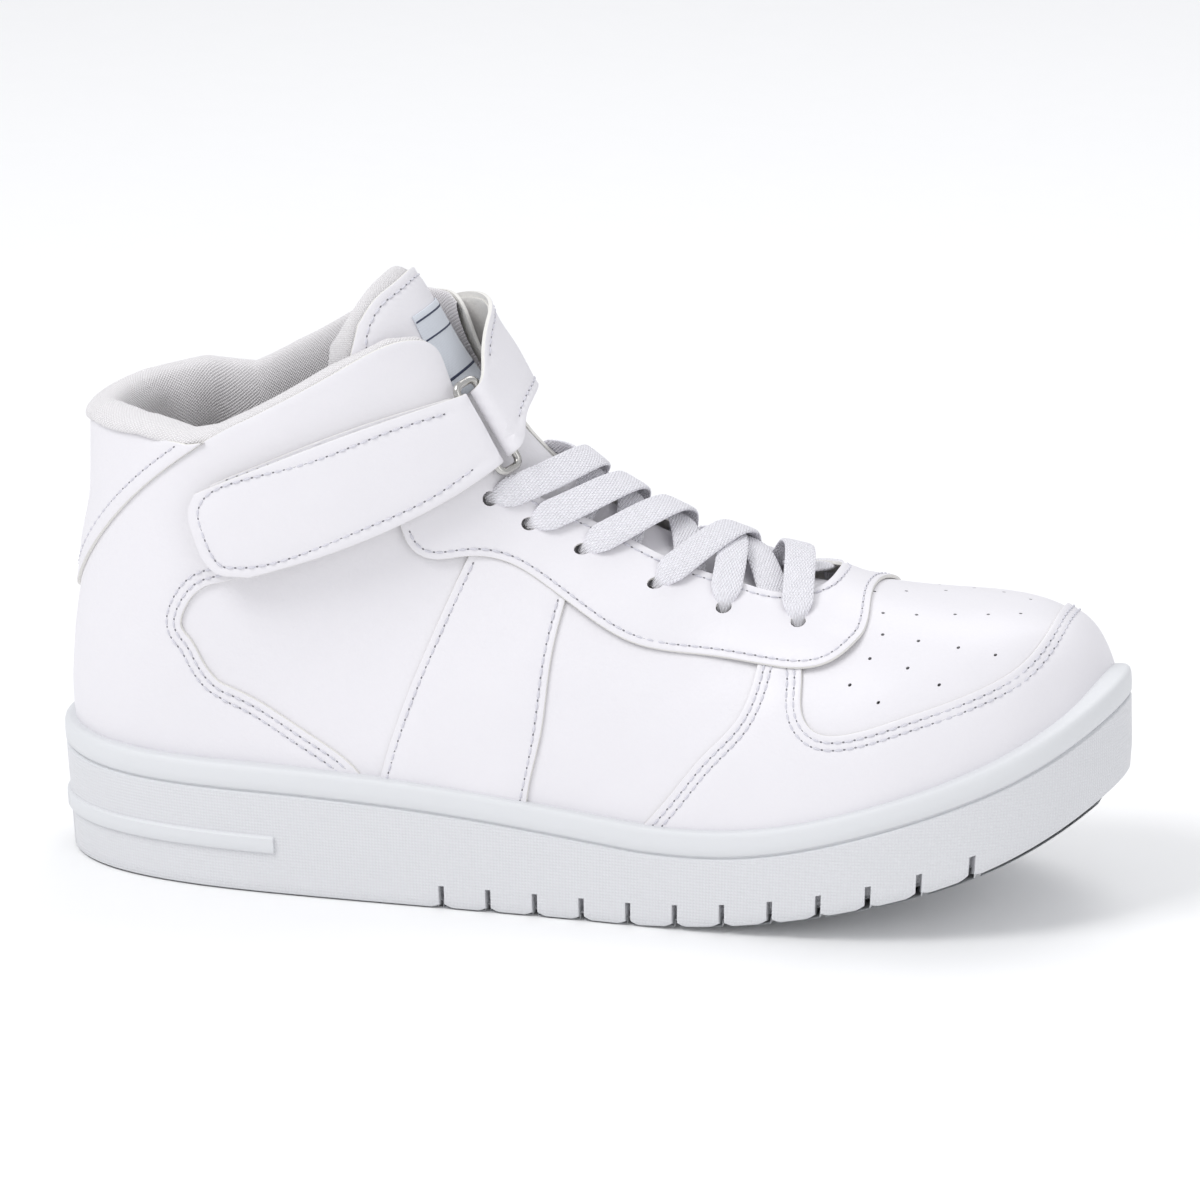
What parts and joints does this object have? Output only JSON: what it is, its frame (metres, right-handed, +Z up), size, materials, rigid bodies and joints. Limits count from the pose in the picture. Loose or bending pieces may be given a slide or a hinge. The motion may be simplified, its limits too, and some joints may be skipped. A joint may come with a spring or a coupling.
{
  "type": "high-top sneaker",
  "caption": "White leather strap high top: padded collar and tongue, flat laces, perforated toe, hook-and-loop ankle strap through a metal ring, grooved rubber cupsole.",
  "frame": {"origin": "centre of the overall bounding box, on the ground under the sole", "axes": "+X from heel to toe, -Y towards the outer (lateral) side of this right shoe, +Z up"},
  "size_m": [0.3001, 0.103, 0.17],
  "materials": {
    "leather": "white, finely pebbled, satin",
    "knit": "white coarse knit",
    "foam": "open-cell foam",
    "stiffener": "resin-stiffened cloth",
    "label": "plain woven",
    "pile": "brushed loop pile",
    "hooks": "moulded hooks",
    "nickel": "polished nickel wire",
    "lace": "flat woven",
    "aglet": "clear film wrap",
    "sole": "moulded, fine weave texture",
    "board": "pressed fibre board",
    "sockliner": "cloth-faced foam"
  },
  "bodies": {
    "shoe": {"ankle_panel_lateral": "leather", "ankle_panel_medial": "leather", "quarter_lateral": "leather", "quarter_medial": "leather", "saddle_band_lateral": "leather", "saddle_band_medial": "leather", "achilles_panel": "leather", "toe_cap": "leather", "toe_box": "leather", "eyestay": "leather", "quarter_lining_lateral": "knit", "quarter_lining_medial": "knit", "heel_counter": "stiffener", "collar_pad": "foam", "collar_lining": "knit", "toe_puff": "stiffener", "vamp_lining": "knit", "tongue_face": "leather", "tongue_pad": "foam", "tongue_lining": "knit", "strap_anchor": "leather", "loop_pile_patch": "pile", "strap_fold": "leather", "far_strap_fold": "leather", "far_strap": "leather", "far_strap_lining": "knit", "lace": "lace", "aglets": "aglet", "cupsole": "sole", "midsole_filler": "foam", "insole_board": "board", "sockliner": "sockliner"},
    "strap_end": {"strap_flap": "leather", "hook_patch": "hooks"},
    "ring": {"strap_ring": "nickel"},
    "tongue_top": {"tongue_top_face": "leather", "tongue_top_pad": "foam", "tongue_top_lining": "knit", "tongue_label": "label"}
  },
  "joints": [
    {"name": "strap_peel", "type": "hinge", "parent": "shoe", "child": "strap_end", "pos_m": [-0.0255, -0.02293, 0.12905], "axis": [-0.5037, 0.026, 0.8635], "range_deg": [0, 110]},
    {"name": "ring_swivel", "type": "hinge", "parent": "shoe", "child": "ring", "pos_m": [-0.0255, -0.02293, 0.12905], "axis": [-0.5037, 0.026, 0.8635], "range_deg": [-5, 5]},
    {"name": "tongue_tilt", "type": "hinge", "parent": "shoe", "child": "tongue_top", "pos_m": [-0.01612, 0, 0.10895], "axis": [0, 1, 0], "range_deg": [-6, 5]}
  ]
}
